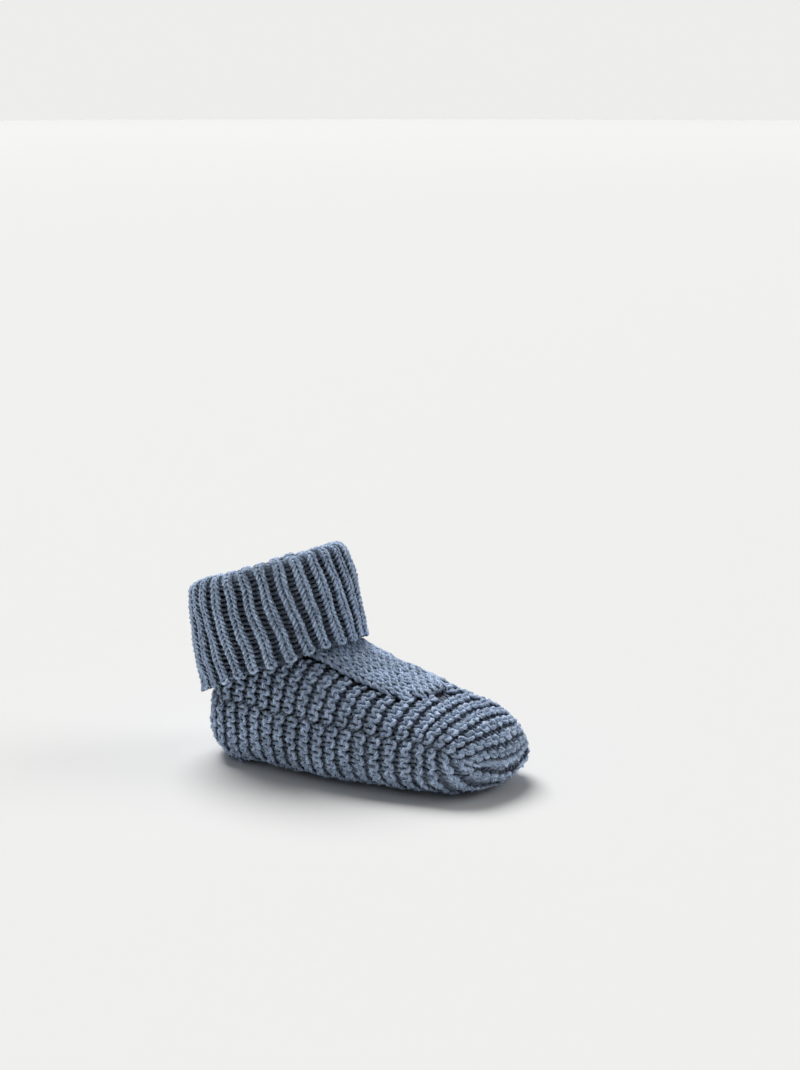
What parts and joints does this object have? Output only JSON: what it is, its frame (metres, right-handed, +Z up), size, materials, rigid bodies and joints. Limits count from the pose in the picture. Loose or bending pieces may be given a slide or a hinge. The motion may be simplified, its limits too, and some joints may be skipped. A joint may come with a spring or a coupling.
{
  "type": "baby bootie",
  "caption": "Knitted wool baby bootie with a garter-stitch foot, a stocking-stitch instep tongue and a ribbed leg turned down into a wide cuff.",
  "frame": {"origin": "middle of the bounding box, on the flat underside that the bootie stands on", "axes": "+X from heel to toe, +Y to the bootie's left, +Z up; the bootie is symmetric about the XZ plane"},
  "size_m": [0.1125, 0.054, 0.067],
  "materials": {
    "garter_knit": "matte",
    "stocking_stitch_knit": "matte",
    "rib_knit": "matte",
    "seam_yarn": "matte"
  },
  "bodies": {
    "foot": {"sole_panel": "garter_knit", "upper_panel": "garter_knit", "instep_panel": "stocking_stitch_knit", "leg_rib": "rib_knit", "sole_seam_yarn": "seam_yarn", "heel_seam_yarn": "seam_yarn", "instep_seam_yarn": "seam_yarn", "ankle_seam_yarn": "seam_yarn", "leg_seam_yarn": "seam_yarn"},
    "cuff": {"cuff_turnover": "rib_knit", "cuff_cast_off_edge": "rib_knit", "cuff_seam_yarn": "seam_yarn"}
  },
  "joints": [
    {"name": "cuff_turn_up", "type": "slide", "parent": "foot", "child": "cuff", "axis": [-0.2137, 0, 0.9769], "range_m": [0, 0.028]}
  ]
}
